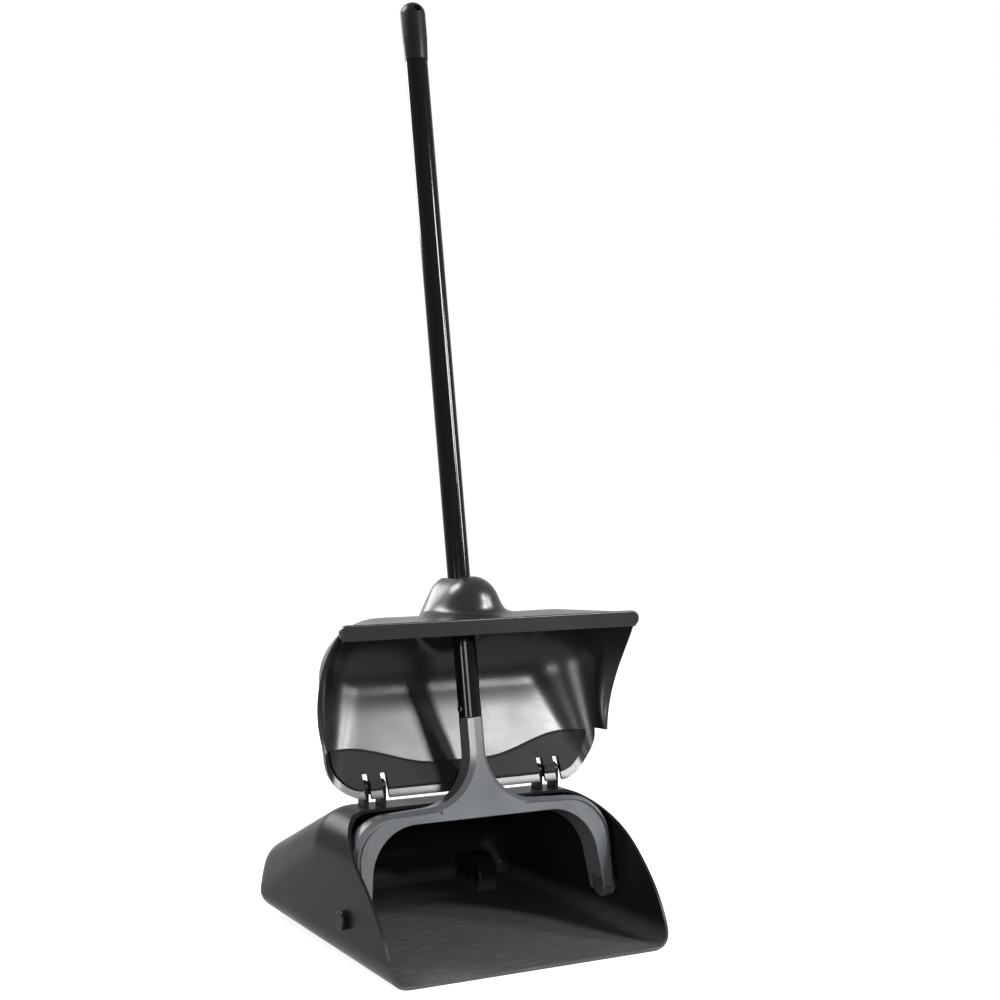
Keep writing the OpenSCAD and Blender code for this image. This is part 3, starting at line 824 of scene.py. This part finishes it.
class DUSTPAN_OT_yoke(Piece, bpy.types.Operator):
    """Models the yoke with its legs, arch, stem and spigot"""

    bl_idname = "dustpan.yoke"
    bl_label = "Yoke"

    def make(self):
        sizes, plan = self.sizes, self.plan
        yoke = prism("yoke_moulding", both_halves(self.half_outline()), sizes.yoke_depth)
        round_edges(yoke, 4.5 * MM, 1, 60)
        slice_off(yoke, (0, 0, sizes.stem_top), (0, 0, 1), True)
        combine(yoke, self.mouth(), "DIFFERENCE")
        round_edges(yoke, 0.8 * MM, 3, 60)
        bush = sizes.pivot_radius + 2.55 * MM
        eye, spot = bush + 4.5 * MM, bush + 5 * MM
        spigot_radius, spigot_length = 9.4 * MM, 56 * MM
        origin = Vector((0, 0, 0))
        for side in (-1, 1):
            inner = side * (plan.leg_x - sizes.leg_width)
            end = cylinder("leg_end", eye, inner, side * plan.leg_x, origin)
            combine(yoke, round_edges(end, 0.8 * MM), "UNION")
            face = cylinder("spot_face", spot, inner, inner - side * 20 * MM, origin)
            combine(yoke, face, "DIFFERENCE")
            bore = cylinder("bush_bore", bush, inner - side * MM, side * (plan.leg_x + 2 * MM), origin)
            combine(yoke, bore, "DIFFERENCE")
            combine(yoke, self.groove(side), "DIFFERENCE")
        spigot = cylinder("spigot", spigot_radius, 0, spigot_length, origin)
        round_edges(spigot, 1.5 * MM)
        settle(spigot, (0, 0, sizes.stem_top - 2 * MM), (0, -QUARTER, 0))
        combine(yoke, spigot, "UNION")
        smooth(yoke)
        set_in_handle(yoke, plan, sizes)
        self.dress(yoke, "moulded_graphite_nylon", "handle", "yoke_plastic", "yoke")

    def half_outline(self):
        """Outline of the yoke's right half in the handle's X and Z, from the stem's top to a foot."""
        sizes, plan = self.sizes, self.plan
        bend, flare = plan.arm_bend, 50 * MM
        half = sizes.stem_width / 2
        bend_x, bend_z = plan.leg_x - bend, sizes.arch_height - bend
        # The arm's top leans by this angle from the crown down to the bend
        lean = 2.6
        normal = Vector((math.sin(math.radians(lean)), math.cos(math.radians(lean))))
        level = normal.dot(Vector((bend_x, bend_z))) + bend
        flare_z = (level + flare - normal.x * (half + flare)) / normal.y
        leg = sizes.leg_width / 2
        points = [(half, sizes.stem_top + 5 * MM)]
        points += arc(half + flare, flare_z, flare, 180, 270 - lean, 30)
        points += arc(bend_x, bend_z, bend, 90 - lean, 0, 30)
        points += arc(plan.leg_x - leg, 0, leg, 0, -90, 10)
        return points

    def mouth(self):
        """Opening between the legs, below the arch."""
        sizes, plan = self.sizes, self.plan
        radius, foot = 48 * MM, -30 * MM
        leg = plan.leg_x - sizes.leg_width
        half = [(leg, foot)]
        crown = sizes.arch_height - sizes.arch_thickness
        half += arc(leg - 8 * MM - radius, crown - radius, radius, 7, 90, 30)
        return prism("yoke_mouth", both_halves(half), 2 * sizes.yoke_depth)

    def groove(self, side):
        """Band cut along the outer edge of an arm's front face."""
        sizes, plan = self.sizes, self.plan
        bend, inset, width, depth = plan.arm_bend, 4 * MM, 3 * MM, 2 * MM
        bend_x, bend_z = plan.leg_x - bend, sizes.arch_height - bend
        outer, inner = bend - inset, bend - inset - width
        start, foot, rise = 44 * MM, 14 * MM, 1.9 * MM
        points = [(start, bend_z + outer + rise)]
        points += arc(bend_x, bend_z, outer, 88, 0, 24)
        points += [(plan.leg_x - inset, foot), (plan.leg_x - inset - width, foot)]
        points += arc(bend_x, bend_z, inner, 0, 88, 24)
        points.append((start, bend_z + inner + rise))
        front = -sizes.yoke_depth / 2
        outline = [(side * x, front, z) for x, z in points]
        return prism("groove", outline, 2 * depth)


class DUSTPAN_OT_handle(Piece, bpy.types.Operator):
    """Models the handle tube, its rivet and the grip cap"""

    bl_idname = "dustpan.handle"
    bl_label = "Handle"

    def make(self):
        sizes, plan = self.sizes, self.plan
        radius, bore = sizes.tube_radius, 9.5 * MM
        low, high = sizes.stem_top, plan.tube_end
        profile = [(bore, low), (radius, low), (radius, high), (bore, high), (bore, low)]
        tube = lathe("handle_tube_enamelled", profile, 72)
        round_edges(tube, 0.5 * MM, 3)
        smooth(tube)
        set_in_handle(tube, plan, sizes)
        finish_piece(tube, tube_enamel(list(self.colours.enamel)), "handle", "tube_paint", "handle_tube")
        self.rivet()
        self.cap()

    def rivet(self):
        """Rivet with a domed head on each side of the tube."""
        sizes, plan = self.sizes, self.plan
        seat, head, rise, rim, shank = 10.25 * MM, 4 * MM, 1.8 * MM, 0.4 * MM, 2.4 * MM
        dome = [(head * math.cos(a), seat + rim + (rise - rim) * math.sin(a)) for a in self.turns(10)]
        half = [(head, seat)] + dome
        profile = [(r, -z) for r, z in reversed(half)] + [(shank, -seat), (shank, seat)] + half
        rivet = lathe("handle_rivet_domed", profile, 40)
        settle(rivet, (0, 0, sizes.stem_top + 9 * MM), (0, QUARTER, 0))
        smooth(rivet)
        set_in_handle(rivet, plan, sizes)
        steel = drawn_steel("blackened_steel", list(self.colours.black_steel), 0.35)
        finish_piece(rivet, steel, "handle", "rivet_steel", "handle_rivet")

    def turns(self, steps):
        """Angles from nought to a quarter turn."""
        return [QUARTER * i / steps for i in range(steps + 1)]

    def cap(self):
        """Domed grip cap with a hang hole."""
        sizes, plan = self.sizes, self.plan
        tube, cap = sizes.tube_radius, plan.cap_radius
        low, top = plan.tube_end - sizes.cap_length, plan.tube_end
        centre = top + sizes.cap_wall
        profile = [(0, top), (tube, top), (tube, low), (tube + sizes.cap_wall / 4, low)]
        profile += [(cap, low + sizes.cap_length / 2)]
        profile += [(cap * math.cos(a), centre + cap * math.sin(a)) for a in self.turns(24)]
        piece = lathe("grip_cap_domed", profile, 72)
        hole = cylinder("hang_hole", sizes.hang_radius, -30 * MM, 30 * MM, Vector((0, 0, 0)), 48)
        settle(hole, (0, 0, centre + sizes.hang_radius), (0, 0, QUARTER))
        combine(piece, hole, "DIFFERENCE")
        round_edges(piece, 0.4 * MM, 2, 45)
        smooth(piece)
        set_in_handle(piece, plan, sizes)
        self.dress(piece, "moulded_satin_black_cap", "handle", "cap_plastic", "grip_cap")


class DUSTPAN_OT_cover(Piece, bpy.types.Operator):
    """Models the cover with its hump, lip band, flanges, raised panel and hinge knuckles"""

    bl_idname = "dustpan.cover"
    bl_label = "Cover"

    def make(self):
        body = self.body()
        flanges = self.flanges(body)
        panel = self.panel(copy_of(body, "cover_panel"))
        cover = self.skin(body)
        lip = self.lip()
        knuckles = [self.knuckle(name, side) for name, side in SIDES]
        gloss, matt = "moulded_black_polypropylene_gloss", "moulded_black_polypropylene_matt"
        for piece in (flanges, lip, *knuckles):
            smooth(piece)
            self.dress(piece, gloss, "cover", "cover_plastic")
        smooth(panel)
        self.dress(panel, matt, "cover", "cover_plastic")
        smooth(cover)
        self.dress(cover, gloss, "cover", "cover_plastic", "cover_shell")

    def body(self):
        """Closed body of the cover: the bowl and the hump over balls, run together softly."""
        sizes, plan = self.sizes, self.plan
        half = sizes.cover_width / 2
        front = plan.cover_lip_y - plan.over / 3
        waist_y = plan.hinge.y + plan.waist_back - plan.waist_radius
        waist_z = plan.hinge.z + plan.waist_rise
        foot_y = plan.hinge.y - plan.ear_radius - plan.gap - plan.foot_radius
        foot_z = plan.hinge.z - 1 * MM
        bowl = []
        for side in (-1, 1):
            crown = (
                side * (half - sizes.crown_radius),
                plan.cover_back - sizes.crown_radius,
                plan.cover_top - sizes.crown_radius,
            )
            corner_x = half + plan.lip_over - plan.corner_radius
            corner = (side * corner_x, front, plan.cover_top - plan.corner_radius)
            bowl.append((crown, sizes.crown_radius))
            bowl.append((corner, plan.corner_radius))
            for y in (front, waist_y):
                bowl.append(((side * (half - plan.waist_radius), y, waist_z), plan.waist_radius))
            for y in (front, foot_y):
                bowl.append(((side * (half - plan.foot_radius), y, foot_z), plan.foot_radius))
        peak_z = plan.cover_top + sizes.hump_rise - sizes.peak_radius
        channel = (0, plan.hinge.y - plan.channel_ahead, plan.hinge.z + plan.channel_rise)
        hump = [
            ((0, plan.hump_y - 14 * MM, peak_z), sizes.peak_radius),
            ((0, plan.hump_y + 12 * MM, peak_z), sizes.peak_radius),
            ((0, plan.hump_y, plan.cover_top - 21 * MM), sizes.hump_radius),
            (channel, plan.channel_radius),
        ]
        body = ball_hull("cover_moulding", bowl)
        join(body, ball_hull("cover_hump", hump))
        modify(body, "REMESH", mode="VOXEL", voxel_size=2.5 * MM, adaptivity=0)
        modify(body, "SMOOTH", factor=0.5, iterations=8)
        # The hump flares into the crown like a bell, most near its foot and less further out
        flare = body.vertex_groups.new(name="flare")
        foot_z, above, foot_reach, fade = plan.cover_top + 2 * MM, 30 * MM, 45 * MM, 35 * MM
        for vertex in body.data.vertices:
            reach = (Vector((vertex.co.x, vertex.co.y)) - Vector((0, plan.hump_y))).length
            near = 1 - abs(vertex.co.z - foot_z) / above
            side = 1 - max(0.0, reach - foot_reach) / fade
            weight = max(0.0, min(1.0, 1.6 * near)) * max(0.0, min(1.0, side))
            if weight > 0:
                flare.add([vertex.index], weight, "REPLACE")
        modify(body, "SMOOTH", factor=0.5, iterations=60, vertex_group="flare")
        body.vertex_groups.clear()
        return face_outwards(body)

    def side_outline(self):
        """What is kept of the body behind its open front, in Y and Z."""
        plan = self.plan
        far, top = plan.far, plan.cover_top + 2 * plan.over
        lip, tongue = plan.cover_lip_y, plan.tongue_front
        low = plan.hinge.z - plan.over
        edge = [(lip, top), (lip, plan.cover_top - self.sizes.lip_height)]
        edge += [plan.edge(i / ROWS) for i in range(ROWS + 1)]
        edge += [(tongue, plan.step.z - 14 * MM), (tongue, low), (far, low), (far, top)]
        return [(0, y, z) for y, z in edge]

    def front_outline(self):
        """What is kept of the body between its sides, with the tongue's round corners, in X and Z."""
        plan = self.plan
        far, top = plan.far, plan.cover_top + 2 * plan.over
        half, foot = self.sizes.tongue_width / 2, plan.tongue_z
        corner = plan.tongue_corner
        points = [(far, top), (far, plan.step.z), (half, plan.step.z)]
        points += arc(half - corner, foot + corner, corner, 0, -90, CORNER_STEPS)
        return both_halves(points)

    def skin(self, body):
        """Cuts the body open, clears the slot and the ears, and gives the skin its wall."""
        sizes, plan = self.sizes, self.plan
        cover = skin_cut(body, prism("keep_side", self.side_outline(), DEEP))
        modify(cover, "SOLIDIFY", thickness=sizes.wall, offset=-1, use_even_offset=True)
        combine(cover, prism("keep_front", self.front_outline(), DEEP), "INTERSECT")
        half = plan.slot_half
        front, back = plan.hump_y - 18 * MM, plan.hump_y + 50 * MM
        outline = arc(0, front + half, half, 180, 360) + arc(0, back - half, half, 0, 180)
        depth = 80 * MM
        middle = plan.cover_top + 2 * MM + depth / 2
        slot = prism("slot", [(x, y, middle) for x, y in outline], depth)
        combine(cover, slot, "DIFFERENCE")
        return self.clear_ears(cover)

    def clear_ears(self, piece):
        """Cuts the notches that let the cover pass the hood's hinge ears."""
        plan = self.plan
        notch = (plan.ear_thickness + 3 * plan.gap) / 2
        top = plan.hinge.z + plan.ear_radius + 6 * MM
        for side in (-1, 1):
            for ear in (-1, 1):
                x = side * self.sizes.hinge_offset + ear * (plan.knuckle_width / 2 + notch)
                low = (x - notch, plan.hinge.y - 30 * MM, plan.hinge.z - 30 * MM)
                high = (x + notch, plan.hinge.y + 15 * MM, top)
                combine(piece, block("ear_notch", low, high), "DIFFERENCE")
        return piece

    def flanges(self, body):
        """Flanges that flare outwards and forwards along both sides of the open front, like half a bell."""
        sizes, plan = self.sizes, self.plan
        lap, thick, draw = 0.04, 2.2 * MM, 2.0 * MM
        rest()
        bpy.ops.mesh.primitive_grid_add(x_subdivisions=14, y_subdivisions=56, size=2)
        flanges = named("cover_flanges")
        for vertex in flanges.data.vertices:
            across = (vertex.co.x + 1) / 2
            t = (1 + lap) * (vertex.co.y + 1) / 2 - lap
            root, rim = plan.edge(t), plan.flange_edge(t)
            wall, normal = body.ray_cast(Vector((0, root.x, root.y)), Vector((1, 0, 0)))[1:3]
            root_x = wall.x - sizes.wall / max(normal.x, 0.35) - 0.9 * MM
            back = (root_x, root.x + 6 * MM, root.y)
            bow = (root_x, root.x - 4 * MM, root.y)
            vertex.co = curve(back, bow, (rim.x - draw, rim.y, rim.z), across)
        flanges.data.update()
        modify(flanges, "SOLIDIFY", thickness=thick, offset=1, use_even_offset=True)
        modify(flanges, "MIRROR", use_axis=(True, False, False))
        return round_edges(flanges, 0.7 * MM, 3, 60)

    def panel(self, body):
        """Raised panel on the tongue, with a wavy top edge."""
        plan = self.plan
        wall, lap, raised = self.sizes.wall, 0.6 * MM, 2.0 * MM
        far, top, low = plan.far, plan.step.z + 20 * MM, plan.hinge.z - plan.over
        front = plan.tongue_front - 4 * MM
        side = [(0, front, top), (0, front, low), (0, far, low), (0, far, top)]
        skin_cut(body, prism("panel_side", side, DEEP))
        modify(body, "DISPLACE", direction="NORMAL", mid_level=0, strength=lap - wall)
        modify(body, "SOLIDIFY", thickness=lap + raised, offset=-1, use_even_offset=True)
        combine(body, prism("panel_keep", self.panel_outline(), DEEP), "INTERSECT")
        slice_off(body, (0, plan.tongue_front + 0.1 * MM, 0), (0, -1, 0), True)
        self.clear_ears(body)
        round_edges(face_outwards(body, 0.2 * MM), 0.9 * MM, 3, 55)
        return join(body, self.bead(body))

    def bead(self, panel):
        """Fine bead along the panel's wavy top edge."""
        rest()
        bpy.ops.curve.primitive_bezier_curve_add()
        bead = named("panel_bead")
        bead.data.splines.clear()
        wave = self.wave()[2:-2]
        line = bead.data.splines.new("POLY")
        line.points.add(len(wave) - 1)
        ahead = Vector((0, self.plan.cover_lip_y, 0))
        for point, (x, z) in zip(line.points, wave):
            start = ahead + Vector((x, 0, z - 1.2 * MM))
            hit, place = panel.ray_cast(start, Vector((0, 1, 0)))[:2]
            point.co = (*place, 1) if hit else (x, self.plan.tongue_front + 8 * MM, z, 1)
        bead.data.bevel_depth = 0.8 * MM
        bead.data.bevel_resolution = 3
        bead.data.use_fill_caps = True
        take(bead)
        bpy.ops.object.convert(target="MESH")
        return bpy.context.active_object

    def wave(self):
        """The panel's wavy top edge in X and Z: low in the middle, high at the sides."""
        plan = self.plan
        half = self.sizes.tongue_width / 2
        reach = half - plan.panel_inset
        flat, middle, side = 25 * MM, plan.hinge.z + 19 * MM, plan.hinge.z + 37 * MM
        points = []
        rows = 60
        for i in range(rows + 1):
            x = -reach + 2 * reach * i / rows
            part = max(0.0, min(1.0, (abs(x) - flat) / (half - 2 * flat)))
            points.append((x, middle + (side - middle) * (1 - math.cos(math.pi * part)) / 2))
        return points

    def panel_outline(self):
        """Outline of the raised panel in X and Z: round lower corners and a wavy top edge."""
        plan = self.plan
        half = self.sizes.tongue_width / 2
        reach, foot = half - plan.panel_inset, plan.tongue_z + plan.panel_inset
        corner = plan.tongue_corner - plan.panel_inset
        points = arc(reach - corner, foot + corner, corner, 0, -90, CORNER_STEPS)
        points += arc(corner - reach, foot + corner, corner, 270, 180, CORNER_STEPS)
        return [(x, 0, z) for x, z in points + self.wave()]

    def lip(self):
        """Lip band along the cover's front edge, with round ends."""
        sizes, plan = self.sizes, self.plan
        reach = sizes.cover_width / 2 + plan.lip_over
        thick = plan.lip_thickness / 2
        low = (-reach, plan.cover_lip_y - thick, plan.cover_top - sizes.lip_height)
        high = (reach, plan.cover_lip_y + thick, plan.cover_top)
        lip = block("cover_lip", low, high)
        rows = [vertex.co.y for vertex in lip.data.vertices]
        ends = [edge.vertices for edge in lip.data.edges]
        pick(lip, "EDGE", [abs(rows[a] - rows[b]) > thick for a, b in ends])
        bpy.ops.mesh.bevel(offset=sizes.lip_height / 2 - 0.1 * MM, segments=10, affect="EDGES")
        rest()
        return round_edges(lip, 1.3 * MM, 3)

    def knuckle(self, name, side):
        """Hinge knuckle with the web that joins it to the tongue."""
        sizes, plan = self.sizes, self.plan
        half = plan.knuckle_width / 2
        radius = sizes.hinge_radius + 4 * MM
        x = side * sizes.hinge_offset
        knuckle = cylinder("hinge_knuckle_" + name, radius, x - half, x + half, plan.hinge, 64)
        round_edges(knuckle, 0.6 * MM)
        low = (x - half + 0.3 * MM, plan.tongue_front + 1 * MM, plan.hinge.z - 2 * MM)
        high = (x + half - 0.3 * MM, plan.hinge.y, plan.hinge.z + radius - 0.1 * MM)
        combine(knuckle, block("web", low, high), "UNION")
        bore = cylinder("bore", sizes.hinge_radius + 0.05 * MM, x - 20 * MM, x + 20 * MM, plan.hinge, 48)
        combine(knuckle, bore, "DIFFERENCE")
        return knuckle


class DUSTPAN_OT_finishes(Piece, bpy.types.Operator):
    """Gives the pins, pads, washers and bushes of the frame their finishes"""

    bl_idname = "dustpan.finishes"
    bl_label = "Finishes"

    def make(self):
        colours = self.colours
        steel = drawn_steel("drawn_bright_steel", list(colours.steel), 0.3)
        nylon = plastic("turned_natural_nylon", colours)
        finishes = {
            "wear_pad": plastic("moulded_dull_grey_tyre", colours),
            "axle_pin": steel,
            "pivot_pin": steel,
            "hinge_pin": steel,
            "pivot_washer": nylon,
            "pivot_bush": nylon,
        }
        for node, material in finishes.items():
            for name in ("left", "right"):
                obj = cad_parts[node + "_" + name]
                obj.data.materials.clear()
                obj.data.materials.append(material)


class DUSTPAN_OT_stage(bpy.types.Operator):
    """Sets the white floor, the surroundings, the lights and the camera"""

    bl_idname = "dustpan.stage"
    bl_label = "Stage"
    bl_options = {"REGISTER"}

    def execute(self, context):
        context.scene.view_settings.view_transform = "Standard"
        self.surroundings(context)
        self.floor()
        for box in SOFTBOXES:
            self.lamp(*box)
        rest()
        bpy.ops.object.camera_add(location=CAMERA_PLACE, rotation=CAMERA_TURN)
        camera = named("photo_camera")
        camera.data.sensor_width = SENSOR_WIDTH
        camera.data.lens = CAMERA_LENS
        context.scene.camera = camera
        return {"FINISHED"}

    def seen(self, tree):
        """Whether a ray comes from the camera, a reflection or a clear piece."""
        rays = add(tree, "ShaderNodeLightPath").outputs
        first = reckon(tree, "MAXIMUM", rays["Is Camera Ray"], rays["Is Glossy Ray"])
        return reckon(tree, "MAXIMUM", first, rays["Is Transmission Ray"])

    def surroundings(self, context):
        """White surroundings, with a lower level for the light that falls on the object."""
        world = bpy.data.worlds.new("white_surroundings")
        context.scene.world = world
        world.use_nodes = True
        tree = world.node_tree
        tree.nodes.clear()
        fill = add(tree, "ShaderNodeBackground", {"Color": (1, 1, 1, 1), "Strength": FILL_LEVEL})
        white = add(tree, "ShaderNodeBackground", {"Color": (1, 1, 1, 1), "Strength": 1.0})
        mix = add(
            tree,
            "ShaderNodeMixShader",
            links={0: self.seen(tree), 1: fill.outputs["Background"], 2: white.outputs["Background"]},
        )
        add(tree, "ShaderNodeOutputWorld", links={"Surface": mix.outputs["Shader"]})

    def floor(self):
        """White floor that keeps a soft shadow."""
        rest()
        bpy.ops.mesh.primitive_grid_add(x_subdivisions=4, y_subdivisions=4, size=14)
        floor = settle(named("studio_floor"), (0, 0, -0.2 * MM))
        material, tree = new_material("white_studio_floor")
        # Far from the object the lamps reach less, so the floor glows more there and stays white
        place = add(tree, "ShaderNodeTexCoord").outputs["Object"]
        away = add(tree, "ShaderNodeVectorMath", {"operation": "LENGTH"}, {0: place}).outputs["Value"]
        level = remap(tree, away, (0.3, 1.2), (FLOOR_GLOW, 1.0))
        glow = add(tree, "ShaderNodeEmission", {"Color": (1, 1, 1, 1)}, {"Strength": level})
        dark = add(tree, "ShaderNodeEmission", {"Strength": 0.0})
        lift = add(
            tree,
            "ShaderNodeMixShader",
            links={0: self.seen(tree), 1: dark.outputs["Emission"], 2: glow.outputs["Emission"]},
        )
        paint = add(tree, "ShaderNodeBsdfDiffuse", {"Color": (FLOOR_PAINT, FLOOR_PAINT, FLOOR_PAINT, 1)})
        both = add(tree, "ShaderNodeAddShader", links={0: lift.outputs["Shader"], 1: paint.outputs["BSDF"]})
        add(tree, "ShaderNodeOutputMaterial", links={"Surface": both.outputs["Shader"]})
        floor.data.materials.append(material)

    def lamp(self, name, place, target, width, height, power):
        """A softbox that faces a target."""
        rest()
        bpy.ops.object.light_add(type="AREA", location=place)
        lamp = named(name)
        lamp.data.shape = "RECTANGLE"
        lamp.data.size = width
        lamp.data.size_y = height
        lamp.data.energy = power
        aim = Vector(target) - Vector(place)
        lamp.rotation_euler = aim.to_track_quat("-Z", "Y").to_euler()


PIECES = (
    DUSTPAN_OT_pan,
    DUSTPAN_OT_wheels,
    DUSTPAN_OT_pivot_caps,
    DUSTPAN_OT_yoke,
    DUSTPAN_OT_handle,
    DUSTPAN_OT_cover,
    DUSTPAN_OT_finishes,
    DUSTPAN_OT_stage,
)


class DUSTPAN_PT_tools(bpy.types.Panel):
    """Lists the dustpan's sizes, colours and operators"""

    bl_idname = "DUSTPAN_PT_tools"
    bl_label = "Dustpan"
    bl_space_type = "VIEW_3D"
    bl_region_type = "UI"
    bl_category = "Dustpan"

    def draw(self, context):
        for group in (context.scene.dustpan_sizes, context.scene.dustpan_colours):
            column = self.layout.column(align=True)
            for name in group.__annotations__:
                column.prop(group, name)
        for piece in PIECES:
            self.layout.operator(piece.bl_idname)


CLASSES = (DustpanSizes, DustpanColours, *PIECES, DUSTPAN_PT_tools)


def register():
    for item in CLASSES:
        bpy.utils.register_class(item)
    bpy.types.Scene.dustpan_sizes = PointerProperty(type=DustpanSizes)
    bpy.types.Scene.dustpan_colours = PointerProperty(type=DustpanColours)


def unregister():
    del bpy.types.Scene.dustpan_colours
    del bpy.types.Scene.dustpan_sizes
    for item in reversed(CLASSES):
        bpy.utils.unregister_class(item)


def main():
    """Registers the classes and makes every piece, the finishes and the stage."""
    register()
    bpy.ops.dustpan.pan()
    bpy.ops.dustpan.wheels()
    bpy.ops.dustpan.pivot_caps()
    bpy.ops.dustpan.yoke()
    bpy.ops.dustpan.handle()
    bpy.ops.dustpan.cover()
    bpy.ops.dustpan.finishes()
    bpy.ops.dustpan.stage()
    rest()


if __name__ == "__main__":
    main()
